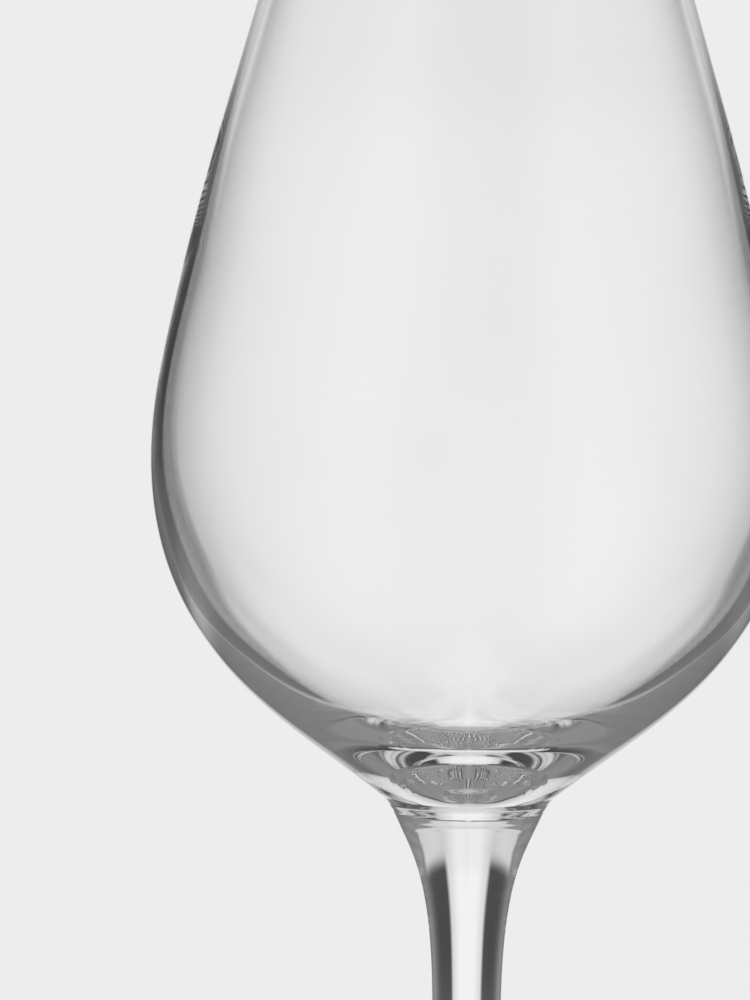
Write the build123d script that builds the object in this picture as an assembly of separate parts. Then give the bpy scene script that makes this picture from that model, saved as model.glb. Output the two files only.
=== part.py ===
from build123d import *
import math
import os

os.makedirs("parts", exist_ok=True)

# A stemmed wine glass in clear glass: a blown bowl, a stem and a foot, fused at two welds.
# Millimetres, +Z up. The origin is the middle of the circle the foot rests on, at table height.

# ---- overall sizes ----
overall_height = 221.0      # table to the top of the rim
weld_height = 111.0         # table to the crease between bowl and stem
bowl_diameter = 84.0        # widest part of the bowl, outside
rim_diameter = 54.0         # outside, where the rounding of the lip starts
foot_diameter = 76.0

# ---- bowl ----
rim_wall = 0.9              # glass thickness at the lip
neck_wall = 0.85            # under the lip
shoulder_wall = 1.35        # between the lip and the widest part
belly_wall = 1.45           # at the widest part
lower_wall = 2.5            # where the side turns in towards the weld
cone_wall = 3.2             # lower still
base_wall = 4.1             # beside the pit in the bottom of the hollow
floor_height = 2.6          # lowest point of the hollow, above the crease
pit_radius = 7.8            # rounded pit in the bottom of the hollow
pit_depth = 2.8
rim_lean = 15.5             # degrees the wall leans in at the lip
weld_slope = 51.0           # degrees from vertical where the bowl leaves the crease

# ---- weld between bowl and stem ----
weld_diameter = 22.6        # the crease
weld_sag = 1.2              # how far the round bottom of the bowl sinks into the stem

# ---- stem ----
stem_diameter = 9.0         # the straight middle part
upper_flare_length = 34.0   # crease down to the straight part
lower_flare_length = 24.0   # straight part down to the foot
upper_flare_slope = 42.0    # degrees from vertical just under the crease
foot_weld_diameter = 15.0
foot_weld_height = 7.0      # table to the weld between stem and foot
foot_weld_slope = 42.0      # degrees from vertical at that weld, shared by stem and foot

# ---- foot ----
foot_edge = 1.8             # thickness of the round edge
rest_ring_width = 4.0       # flat ring the glass stands on
foot_hollow = 1.6           # rise of the underside at the middle


def xz(radius, height):
    return Vector(radius, 0, height)


def spin(edges):
    return revolve(make_face(edges), Axis.Z)


def slope(degrees):
    # direction climbing away from the axis, measured from vertical
    return xz(math.sin(math.radians(degrees)), math.cos(math.radians(degrees)))


bowl_radius = bowl_diameter / 2
rim_radius = rim_diameter / 2
weld_radius = weld_diameter / 2
stem_radius = stem_diameter / 2
foot_weld_radius = foot_weld_diameter / 2
foot_radius = foot_diameter / 2
bowl_height = overall_height - weld_height

# ---- bowl outside: crease, cone, belly, then leaning in to the lip ----
lip_drop = rim_wall / 2 * (1 - math.sin(math.radians(rim_lean)))
bowl_outside = Spline(
    xz(weld_radius, weld_height),
    xz(0.524 * bowl_radius, weld_height + 0.073 * bowl_height),
    xz(0.760 * bowl_radius, weld_height + 0.155 * bowl_height),
    xz(0.935 * bowl_radius, weld_height + 0.264 * bowl_height),
    xz(bowl_radius, weld_height + 0.418 * bowl_height),
    xz(0.945 * bowl_radius, weld_height + 0.564 * bowl_height),
    xz(0.830 * bowl_radius, weld_height + 0.745 * bowl_height),
    xz(rim_radius, overall_height - lip_drop),
    tangents=[slope(weld_slope), slope(-rim_lean)],
    tangent_scalars=[1, 1],
)


def inside_of(along, wall):
    # the point one wall thickness in from the outside, square to it
    here = bowl_outside @ along
    way = bowl_outside % along
    return xz(here.X - wall * way.Z, here.Z + wall * way.X)


bowl_inside = Spline(
    xz(0, weld_height + floor_height),
    xz(0.55 * pit_radius, weld_height + floor_height + 0.3 * pit_depth),
    xz(pit_radius, weld_height + floor_height + pit_depth),
    inside_of(0.11, base_wall),
    inside_of(0.19, cone_wall),
    inside_of(0.28, lower_wall),
    inside_of(0.45, belly_wall),
    inside_of(0.65, shoulder_wall),
    inside_of(0.82, neck_wall),
    inside_of(1.0, rim_wall),
    tangents=[xz(1, 0), slope(-rim_lean)],
    tangent_scalars=[1, 1],
)

# the lip is rounded over its whole thickness
lip_middle = (bowl_outside @ 1 + bowl_inside @ 1) / 2
lip = ThreePointArc(bowl_outside @ 1, lip_middle + slope(-rim_lean) * (rim_wall / 2), bowl_inside @ 1)

# the weld face is one shallow cap, shared by the bowl and the stem
cap_radius = (weld_radius ** 2 + weld_sag ** 2) / (2 * weld_sag)
cap_half = Vector(math.sin(math.asin(weld_radius / cap_radius) / 2), 0, 0)
cap_middle = xz(
    cap_radius * cap_half.X,
    weld_height - weld_sag + cap_radius * (1 - math.sqrt(1 - cap_half.X ** 2)),
)
cap_foot = xz(0, weld_height - weld_sag)
cap = ThreePointArc(cap_foot, cap_middle, xz(weld_radius, weld_height))

bowl_axis = Line(bowl_inside @ 0, cap_foot)
bowl = spin([cap, bowl_outside, lip, bowl_inside, bowl_axis])

# ---- stem: flare under the bowl, straight middle, flare down to the foot ----
flare_out = weld_radius - stem_radius
upper_flare = Spline(
    xz(weld_radius, weld_height),
    xz(stem_radius + 0.66 * flare_out, weld_height - 0.118 * upper_flare_length),
    xz(stem_radius + 0.40 * flare_out, weld_height - 0.235 * upper_flare_length),
    xz(stem_radius + 0.16 * flare_out, weld_height - 0.412 * upper_flare_length),
    xz(stem_radius + 0.04 * flare_out, weld_height - 0.618 * upper_flare_length),
    xz(stem_radius, weld_height - upper_flare_length),
    tangents=[slope(upper_flare_slope) * -1, xz(0, -1)],
    tangent_scalars=[1, 1],
)
spread_out = foot_weld_radius - stem_radius
lower_flare = Spline(
    xz(stem_radius, foot_weld_height + lower_flare_length),
    xz(stem_radius + 0.12 * spread_out, foot_weld_height + 0.42 * lower_flare_length),
    xz(stem_radius + 0.47 * spread_out, foot_weld_height + 0.13 * lower_flare_length),
    xz(foot_weld_radius, foot_weld_height),
    tangents=[xz(0, -1), slope(-foot_weld_slope) * -1],
    tangent_scalars=[1, 1],
)
straight = Line(upper_flare @ 1, lower_flare @ 0)
foot_weld = Line(xz(foot_weld_radius, foot_weld_height), xz(0, foot_weld_height))
stem_axis = Line(xz(0, foot_weld_height), cap_foot)
stem = spin([upper_flare, straight, lower_flare, foot_weld, stem_axis, cap])

# ---- foot: a thin disc rising to the stem, hollowed underneath ----
edge_radius = foot_edge / 2
ring_outer = foot_radius - edge_radius
ring_inner = ring_outer - rest_ring_width
foot_rise = foot_weld_height - foot_edge
foot_top = Spline(
    xz(foot_weld_radius, foot_weld_height),
    xz(0.32 * foot_radius, foot_edge + 0.43 * foot_rise),
    xz(0.60 * foot_radius, foot_edge + 0.17 * foot_rise),
    xz(ring_outer, foot_edge),
    tangents=[slope(-foot_weld_slope) * -1, xz(1, -0.02)],
    tangent_scalars=[1, 1],
)
foot_rim = ThreePointArc(xz(ring_outer, foot_edge), xz(foot_radius, edge_radius), xz(ring_outer, 0))
rest_ring = Line(xz(ring_outer, 0), xz(ring_inner, 0))
underside = Spline(xz(ring_inner, 0), xz(0, foot_hollow), tangents=[xz(-1, 0.06), xz(-1, 0)])
foot_axis = Line(xz(0, foot_hollow), xz(0, foot_weld_height))
foot = spin([foot_weld, foot_top, foot_rim, rest_ring, underside, foot_axis])

export_step(bowl, "parts/bowl.step")
export_step(stem, "parts/stem.step")
export_step(foot, "parts/foot.step")
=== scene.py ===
import bpy
import math
import numpy as np
from mathutils import Matrix, Vector


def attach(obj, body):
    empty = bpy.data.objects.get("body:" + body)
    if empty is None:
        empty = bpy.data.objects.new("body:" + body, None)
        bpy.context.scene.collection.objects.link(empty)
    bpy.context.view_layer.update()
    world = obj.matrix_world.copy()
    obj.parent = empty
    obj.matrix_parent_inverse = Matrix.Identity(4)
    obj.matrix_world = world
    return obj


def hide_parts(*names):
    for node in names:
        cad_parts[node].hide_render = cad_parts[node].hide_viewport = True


# A clear wine glass. Outlines are in millimetres, as in the CAD part; meshes are in metres.

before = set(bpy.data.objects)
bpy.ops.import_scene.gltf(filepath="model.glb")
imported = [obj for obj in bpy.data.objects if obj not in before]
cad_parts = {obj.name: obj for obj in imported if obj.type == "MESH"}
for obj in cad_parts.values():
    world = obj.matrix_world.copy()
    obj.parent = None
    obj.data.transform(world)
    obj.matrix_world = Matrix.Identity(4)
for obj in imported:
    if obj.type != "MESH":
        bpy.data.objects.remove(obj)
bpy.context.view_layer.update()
scene = bpy.context.scene

TURNS = 288         # points round each ring of the turned meshes
GLASS, FUSED = 0, 1  # material places on each piece


# ---------------------------------------------------------------- curves
def smooth_line(points, start, end, steps):
    """Points along a smooth curve through all of points, leaving along start and arriving along end."""
    p = np.array(points, float)
    gap = np.linalg.norm(np.diff(p, axis=0), axis=1)
    knot = np.concatenate([[0], np.cumsum(gap)])
    n = len(p)
    a, b = np.zeros((n, n)), np.zeros((n, 2))
    a[0, 0] = a[-1, -1] = 1
    b[0] = np.array(start, float) / np.linalg.norm(start)
    b[-1] = np.array(end, float) / np.linalg.norm(end)
    for i in range(1, n - 1):
        h0, h1 = gap[i - 1], gap[i]
        a[i, i - 1:i + 2] = h1, 2 * (h0 + h1), h0
        b[i] = 3 * (h1 * (p[i] - p[i - 1]) / h0 + h0 * (p[i + 1] - p[i]) / h1)
    slope = np.linalg.solve(a, b)
    out = []
    for t in np.linspace(0, knot[-1], steps):
        i = min(max(np.searchsorted(knot, t) - 1, 0), n - 2)
        h = gap[i]
        s = (t - knot[i]) / h
        out.append((2 * s**3 - 3 * s**2 + 1) * p[i] + (s**3 - 2 * s**2 + s) * h * slope[i]
                   + (3 * s**2 - 2 * s**3) * p[i + 1] + (s**3 - s**2) * h * slope[i + 1])
    return np.array(out)


def turn_on(angle, before):
    """The same angle, whole turns added or taken off until it is within half a turn of the one before."""
    while angle - before > math.pi:
        angle -= 2 * math.pi
    while angle - before < -math.pi:
        angle += 2 * math.pi
    return angle


def arc(start, middle, end, steps):
    """Points on the circle through three points."""
    (ax, ay), (bx, by), (cx, cy) = start, middle, end
    d = 2 * (ax * (by - cy) + bx * (cy - ay) + cx * (ay - by))
    x = ((ax**2 + ay**2) * (by - cy) + (bx**2 + by**2) * (cy - ay) + (cx**2 + cy**2) * (ay - by)) / d
    y = ((ax**2 + ay**2) * (cx - bx) + (bx**2 + by**2) * (ax - cx) + (cx**2 + cy**2) * (bx - ax)) / d
    r = math.hypot(ax - x, ay - y)
    a0, a1, a2 = (math.atan2(q - y, p - x) for p, q in (start, middle, end))
    a1 = turn_on(a1, a0)
    a2 = turn_on(a2, a1)
    t = np.linspace(a0, a2, steps)
    return np.stack([x + r * np.cos(t), y + r * np.sin(t)], 1)


def lean(degrees):
    """Direction climbing away from the axis, measured from vertical."""
    return np.array([math.sin(math.radians(degrees)), math.cos(math.radians(degrees))])


# ---------------------------------------------------------------- bowl outline
TOP = 221.0          # table to the rim
WELD = 111.0         # table to the crease between bowl and stem
H = TOP - WELD
BOWL_R = 42.0
WELD_R = 11.3
RIM_R = 27.0
RIM_LEAN = 15.5      # degrees the wall leans in at the lip
WELD_SLOPE = 51.0    # degrees from vertical where the bowl leaves the crease
LIP = 0.9            # glass thickness at the lip
SAG = 1.2            # how far the round bottom of the bowl sinks into the stem

outside = smooth_line(
    [(WELD_R, WELD), (0.524 * BOWL_R, WELD + 0.073 * H), (0.760 * BOWL_R, WELD + 0.155 * H),
     (0.935 * BOWL_R, WELD + 0.264 * H), (BOWL_R, WELD + 0.418 * H), (0.945 * BOWL_R, WELD + 0.564 * H),
     (0.830 * BOWL_R, WELD + 0.745 * H), (RIM_R, TOP - LIP / 2 * (1 - math.sin(math.radians(RIM_LEAN))))],
    lean(WELD_SLOPE), lean(-RIM_LEAN), 400)
run = np.concatenate([[0], np.cumsum(np.linalg.norm(np.diff(outside, axis=0), axis=1))])
run /= run[-1]


def inside_of(along, wall):
    """The point one wall thickness in from the outside. along is 0 at the crease and 1 at the lip."""
    here = np.array([np.interp(along, run, outside[:, 0]), np.interp(along, run, outside[:, 1])])
    i = min(max(int(np.searchsorted(run, along)), 1), len(run) - 1)
    way = outside[i] - outside[i - 1]
    way /= np.linalg.norm(way)
    return here + wall * np.array([-way[1], way[0]])


inside = smooth_line(
    [(0, WELD + 2.6), (4.29, WELD + 3.44), (7.8, WELD + 5.4),   # rounded pit in the bottom of the hollow
     inside_of(0.11, 4.1), inside_of(0.19, 3.2), inside_of(0.28, 2.5), inside_of(0.45, 1.45),
     inside_of(0.65, 1.35), inside_of(0.82, 0.85), inside_of(1.0, LIP)],
    (1, 0), lean(-RIM_LEAN), 400)
lip_middle = (outside[-1] + inside[-1]) / 2
lip = arc(outside[-1], lip_middle + lean(-RIM_LEAN) * LIP / 2, inside[-1], 15)

# the weld face is one shallow cap, shared by the bowl and the stem
cap_r = (WELD_R**2 + SAG**2) / (2 * SAG)
cap_t = math.asin(WELD_R / cap_r) / 2
cap_middle = (cap_r * math.sin(cap_t), WELD - SAG + cap_r * (1 - math.cos(cap_t)))
cap = arc((0, WELD - SAG), cap_middle, (WELD_R, WELD), 12)

# ---------------------------------------------------------------- stem outline
STEM_R = 4.5
FLARE = 34.0         # crease down to the straight part
FLARE_SLOPE = 42.0   # degrees from vertical just under the crease
FOOT_WELD = 7.0      # table to the weld between stem and foot
FOOT_WELD_R = 7.5
FOOT_SLOPE = 42.0    # degrees from vertical at that weld, shared by stem and foot
SPREAD = 24.0        # straight part down to the foot
RINGS = ((0.85, 0.28), (1.9, 0.32))   # shallow rings left in drawing the stem: below the crease, width
RING_DEPTH = 0.035

wide = WELD_R - STEM_R
flare = smooth_line(
    [(WELD_R, WELD), (STEM_R + 0.66 * wide, WELD - 0.118 * FLARE), (STEM_R + 0.40 * wide, WELD - 0.235 * FLARE),
     (STEM_R + 0.16 * wide, WELD - 0.412 * FLARE), (STEM_R + 0.04 * wide, WELD - 0.618 * FLARE),
     (STEM_R, WELD - FLARE)],
    -lean(FLARE_SLOPE), (0, -1), 260)
below = WELD - flare[:, 1]
flare[:, 0] -= sum(RING_DEPTH * np.exp(-((below - at) / width) ** 2) for at, width in RINGS)

wide = FOOT_WELD_R - STEM_R
spread = smooth_line(
    [(STEM_R, FOOT_WELD + SPREAD), (STEM_R + 0.12 * wide, FOOT_WELD + 0.42 * SPREAD),
     (STEM_R + 0.47 * wide, FOOT_WELD + 0.13 * SPREAD), (FOOT_WELD_R, FOOT_WELD)],
    (0, -1), -lean(-FOOT_SLOPE), 80)

# ---------------------------------------------------------------- foot outline
FOOT_R = 38.0
EDGE = 1.8           # thickness of the round edge
REST_OUT = FOOT_R - EDGE / 2
REST_IN = REST_OUT - 4.0
HOLLOW = 1.6         # rise of the underside at the middle

rise = FOOT_WELD - EDGE
foot_top = smooth_line(
    [(FOOT_WELD_R, FOOT_WELD), (0.32 * FOOT_R, EDGE + 0.43 * rise), (0.60 * FOOT_R, EDGE + 0.17 * rise),
     (REST_OUT, EDGE)],
    -lean(-FOOT_SLOPE), (1, -0.02), 120)
foot_rim = arc((REST_OUT, EDGE), (FOOT_R, EDGE / 2), (REST_OUT, 0), 13)
rest_ring = np.array([(REST_IN, 0), (REST_OUT, 0)])
under = smooth_line([(REST_IN, 0), (0, HOLLOW)], (-1, 0.06), (-1, 0), 60)
foot_weld = np.array([(0, FOOT_WELD), (FOOT_WELD_R, FOOT_WELD)])


# ---------------------------------------------------------------- meshes
def join_runs(runs):
    """One outline from several (points, material place) runs, without doubled points, and the run ends."""
    pts, tags, corners = [], [], []
    for points, tag in runs:
        for p in points:
            if pts and np.hypot(*(np.array(p) - pts[-1])) < 1e-6:
                continue
            pts.append(np.array(p, float))
            if len(pts) > 1:
                tags.append(tag)
        corners.append(len(pts) - 1)
    return pts, tags, corners


def spin_points(pts, uneven):
    """Metres: a ring of points for each outline point, and one point for each that is on the axis."""
    angle = np.arange(TURNS) * 2 * math.pi / TURNS
    verts, rings = [], []
    for r, z in pts:
        if r < 1e-6:
            rings.append([len(verts)])
            verts.append((0, 0, z / 1000))
            continue
        rr, zz = np.full(TURNS, r), np.full(TURNS, z)
        if uneven:
            rr, zz = uneven(rr, zz, angle)
        rings.append(list(range(len(verts), len(verts) + TURNS)))
        verts += [(x * math.cos(t) / 1000, x * math.sin(t) / 1000, y / 1000) for x, y, t in zip(rr, zz, angle)]
    return verts, rings


def faces_between(a, b):
    """Faces from one ring to the next. Either may be a single point on the axis."""
    for k in range(TURNS):
        m = (k + 1) % TURNS
        if len(a) == 1:
            yield (a[0], b[m], b[k])
        elif len(b) == 1:
            yield (a[k], a[m], b[0])
        else:
            yield (a[k], a[m], b[m], b[k])


def mark_sharp(mesh, rings):
    """The edges along these rings are creases, so shading does not round them."""
    sharp = {frozenset((ring[k], ring[(k + 1) % TURNS])) for ring in rings for k in range(TURNS)}
    mark = mesh.attributes.new("sharp_edge", "BOOLEAN", "EDGE")
    mark.data.foreach_set("value", [frozenset(e.vertices) in sharp for e in mesh.edges])


def lathe(name, runs, uneven=None):
    """Turns an outline that starts and ends on the axis into a closed round mesh."""
    pts, tags, corners = join_runs(runs)
    verts, rings = spin_points(pts, uneven)
    faces, places = [], []
    for i in range(len(rings) - 1):
        band = list(faces_between(rings[i], rings[i + 1]))
        faces += band
        places += [tags[i]] * len(band)
    mesh = bpy.data.meshes.new(name)
    mesh.from_pydata(verts, [], faces)
    mesh.update()
    mesh.polygons.foreach_set("material_index", places)
    mesh.polygons.foreach_set("use_smooth", [True] * len(faces))
    creases = [rings[c] for c in corners[:-1] if len(rings[c]) > 1 and tags[c - 1] != tags[c]]
    if creases:
        mark_sharp(mesh, creases)
    obj = bpy.data.objects.new(name, mesh)
    scene.collection.objects.link(obj)
    return obj


def uneven_pit(r, z, angle):
    """Shallow waves in the bottom of the hollow, fading out towards the side. Nothing else is touched."""
    reach = 15
    if z[0] < WELD + 2.5 or r[0] > reach:
        return r, z
    fade = (1 - (r / reach) ** 2) ** 2
    rings = np.cos(2 * math.pi * r / 2.6 + 0.5 * np.sin(2 * angle)) * np.clip(r / 2, 0, 1)
    around = np.sin(5 * angle + 1.3) * np.clip(r / 5, 0, 1)
    return r, z + fade * (0.012 * rings + 0.014 * around)


bowl = lathe("bowl_glass_blown",
             [(cap, FUSED), (outside, GLASS), (lip, GLASS), (inside[::-1], GLASS)], uneven_pit)
stem = lathe("stem_glass_drawn",
             [(foot_weld, FUSED), (spread[::-1], GLASS), (flare[::-1], GLASS), (cap[::-1], FUSED)])
foot = lathe("foot_glass_pressed",
             [(under[::-1], GLASS), (rest_ring, GLASS), (foot_rim[::-1], GLASS), (foot_top[::-1], GLASS),
              (foot_weld[::-1], FUSED)])


# ---------------------------------------------------------------- materials
def glass(name, waves, depth):
    """Clear glass. Slow noise makes the surface uneven, as in hand-worked glass, and the tint very slightly."""
    m = bpy.data.materials.new(name)
    m.use_nodes = True
    t = m.node_tree
    s = t.nodes["Principled BSDF"]
    s.inputs["IOR"].default_value = 1.5
    s.inputs["Transmission Weight"].default_value = 1.0
    s.inputs["Roughness"].default_value = 0.0
    place = t.nodes.new("ShaderNodeTexCoord")
    slow = t.nodes.new("ShaderNodeTexNoise")
    slow.inputs["Scale"].default_value = waves
    slow.inputs["Detail"].default_value = 1.5
    slow.inputs["Roughness"].default_value = 0.4
    t.links.new(place.outputs["Object"], slow.inputs["Vector"])
    bump = t.nodes.new("ShaderNodeBump")
    bump.inputs["Strength"].default_value = 1.0
    bump.inputs["Distance"].default_value = depth
    t.links.new(slow.outputs[0], bump.inputs["Height"])
    t.links.new(bump.outputs["Normal"], s.inputs["Normal"])
    tint = t.nodes.new("ShaderNodeMix")
    tint.data_type = "RGBA"
    tint.inputs["A"].default_value = (0.995, 0.995, 0.995, 1)
    tint.inputs["B"].default_value = (0.978, 0.982, 0.980, 1)
    t.links.new(slow.outputs[0], tint.inputs["Factor"])
    t.links.new(tint.outputs["Result"], s.inputs["Base Color"])
    return m


def fused_glass():
    """For weld faces inside solid glass, where light passes straight on."""
    m = bpy.data.materials.new("fused_glass")
    m.use_nodes = True
    t = m.node_tree
    t.nodes.clear()
    clear = t.nodes.new("ShaderNodeBsdfTransparent")
    end = t.nodes.new("ShaderNodeOutputMaterial")
    t.links.new(clear.outputs[0], end.inputs[0])
    return m


fused = fused_glass()
for obj, node, slot, waves, depth in ((bowl, "bowl", "bowl_glass", 70, 0.000006),
                                      (stem, "stem", "stem_glass", 160, 0.000006),
                                      (foot, "foot", "foot_glass", 60, 0.000008)):
    obj.data.materials.append(glass(slot, waves, depth))
    obj.data.materials.append(fused)
    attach(obj, "root")
    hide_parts(node)


# ---------------------------------------------------------------- studio light
def ease(x, a, b):
    """0 up to a, 1 from b on, smooth between. b may be the smaller."""
    t = np.clip((x - a) / (b - a), 0, 1)
    return t * t * (3 - 2 * t)


def window(az, el, at_az, half_az, low, high, soft):
    """A soft-edged bright panel, as seen from the glass."""
    off = np.abs((az - at_az + 180) % 360 - 180)
    across = ease(off, half_az + soft / 2, half_az - soft / 2)
    return across * ease(el, low - soft, low) * ease(el, high + soft, high)


def tent_light(az, el):
    """Brightness of the tent. az 0 is straight behind the glass, 90 to the right; el is above the horizon."""
    off = np.abs(az)
    # dim cloth, a little lighter towards the sides and the floor
    side = 0.05 + 0.17 * ease(off, 32, 60)
    side += 0.04 * ease(el, -38, -70) + 0.06 * ease(el, -16, -28) * ease(el, -60, -40) * ease(off, 60, 44)
    side += 0.06 * ease(off, 40, 62) * ease(el, -66, -44) * ease(el, 2, -18)
    # a bright strip above and beside the back panel
    side += 0.66 * ease(el, 4, 17) * ease(el, 42, 26) * ease(off, 50, 40)
    side += 0.06 * ease(el, 5, 25) * ease(off, 44, 54)
    # a soft panel on each side, behind the camera
    side += 0.32 * window(az, el, 135, 16, -44, 2, 26) + 0.14 * window(az, el, -135, 16, -44, 2, 26)
    # the bright panel behind the glass
    back = ease(off, 17.4, 15.4)
    level = (0.95 - 0.16 * ease(el, 10, 26) - 0.45 * ease(el, -28, -75)) * (1 - 0.24 * ease(off, 6, 16))
    level *= 1 - 0.05 * ease(el, -2, 6) - 0.03 * ease(np.abs(az - 0.6), 2.2, 0.8) * ease(el, -8, -2)
    return side + back * np.clip(level - side, 0, None)


def glow_material():
    """Shines as brightly as the point attribute "light" says."""
    m = bpy.data.materials.new("light_tent")
    m.use_nodes = True
    t = m.node_tree
    t.nodes.clear()
    read = t.nodes.new("ShaderNodeAttribute")
    read.attribute_name = "light"
    glow = t.nodes.new("ShaderNodeEmission")
    t.links.new(read.outputs["Fac"], glow.inputs["Strength"])
    end = t.nodes.new("ShaderNodeOutputMaterial")
    t.links.new(glow.outputs[0], end.inputs[0])
    m.cycles.emission_sampling = "NONE"
    return m


def tent(radius, centre):
    """A closed sphere of light round the glass, in metres, that only the glass sees."""
    cols, rows = 240, 120
    az = np.linspace(-180, 180, cols, endpoint=False)
    verts, values = [], []
    for e in np.linspace(-90, 90, rows + 1):
        level = math.radians(e)
        for a in az:
            way = math.radians(a)
            verts.append((radius * math.sin(way) * math.cos(level), radius * math.cos(way) * math.cos(level),
                          centre + radius * math.sin(level)))
        values.append(tent_light(az, np.full(cols, e)))
    faces = [(i * cols + k, i * cols + (k + 1) % cols, (i + 1) * cols + (k + 1) % cols, (i + 1) * cols + k)
             for i in range(rows) for k in range(cols)]
    mesh = bpy.data.meshes.new("light_tent")
    mesh.from_pydata(verts, [], faces)
    layer = mesh.attributes.new("light", "FLOAT", "POINT")
    layer.data.foreach_set("value", np.concatenate(values).astype(np.float32))
    mesh.materials.append(glow_material())
    obj = bpy.data.objects.new("light_tent", mesh)
    scene.collection.objects.link(obj)
    obj.visible_camera = False
    obj.visible_diffuse = False
    obj.visible_shadow = False


tent(0.35, 0.16)

# ---------------------------------------------------------------- floor and backdrop
PALE = (0.847, 0.847, 0.847, 1)


def pale_floor(radius, corners):
    """A round paper floor, in metres. The camera sees it; the glass sees the tent in its place."""
    ring = [2 * math.pi * k / corners for k in range(corners)]
    mesh = bpy.data.meshes.new("floor")
    verts = [(radius * math.cos(t), radius * math.sin(t), 0) for t in ring]
    mesh.from_pydata(verts, [], [tuple(range(corners))])
    paper = bpy.data.materials.new("pale_floor")
    paper.use_nodes = True
    p = paper.node_tree.nodes["Principled BSDF"]
    p.inputs["Base Color"].default_value = PALE
    p.inputs["Roughness"].default_value = 1.0
    p.inputs["Specular IOR Level"].default_value = 0.0
    mesh.materials.append(paper)
    obj = bpy.data.objects.new("floor", mesh)
    scene.collection.objects.link(obj)
    obj.visible_transmission = False
    obj.visible_glossy = False


def studio_world():
    """The camera sees a pale backdrop; everything else is lit by even white."""
    world = bpy.data.worlds.new("studio")
    world.use_nodes = True
    w = world.node_tree
    w.nodes.clear()
    path = w.nodes.new("ShaderNodeLightPath")
    seen = w.nodes.new("ShaderNodeBackground")
    seen.inputs[0].default_value = PALE
    lit = w.nodes.new("ShaderNodeBackground")
    lit.inputs[0].default_value = (1, 1, 1, 1)
    mix = w.nodes.new("ShaderNodeMixShader")
    w.links.new(path.outputs["Is Camera Ray"], mix.inputs[0])
    w.links.new(lit.outputs[0], mix.inputs[1])
    w.links.new(seen.outputs[0], mix.inputs[2])
    end = w.nodes.new("ShaderNodeOutputWorld")
    w.links.new(mix.outputs[0], end.inputs[0])
    return world


pale_floor(8, 96)
scene.world = studio_world()


# ---------------------------------------------------------------- camera
def aimed_camera(eye, aim, roll_degrees, lens):
    """A camera at eye looking at aim, turned about its own axis by roll_degrees."""
    ahead = (aim - eye).normalized()
    right = ahead.cross(Vector((0, 0, 1))).normalized()
    up = right.cross(ahead)
    roll = math.radians(roll_degrees)
    x = right * math.cos(roll) + up * math.sin(roll)
    y = up * math.cos(roll) - right * math.sin(roll)
    data = bpy.data.cameras.new("camera")
    data.sensor_width = 36
    data.lens = lens
    data.clip_end = 50
    obj = bpy.data.objects.new("camera", data)
    scene.collection.objects.link(obj)
    obj.matrix_world = Matrix(((x.x, y.x, -ahead.x, eye.x),
                               (x.y, y.y, -ahead.y, eye.y),
                               (x.z, y.z, -ahead.z, eye.z),
                               (0, 0, 0, 1)))
    return obj


scene.camera = aimed_camera(Vector((0, -1.2, 0.27965)), Vector((-0.012645, 0, 0.149885)), 0.5235, 332.2)

scene.view_settings.view_transform = "Standard"
# light turns many corners inside solid glass before it comes out
scene.cycles.max_bounces = 200
scene.cycles.transmission_bounces = 200
scene.cycles.glossy_bounces = 200
scene.cycles.transparent_max_bounces = 40
scene.cycles.caustics_reflective = True
scene.cycles.caustics_refractive = True
scene.cycles.sample_clamp_indirect = 0
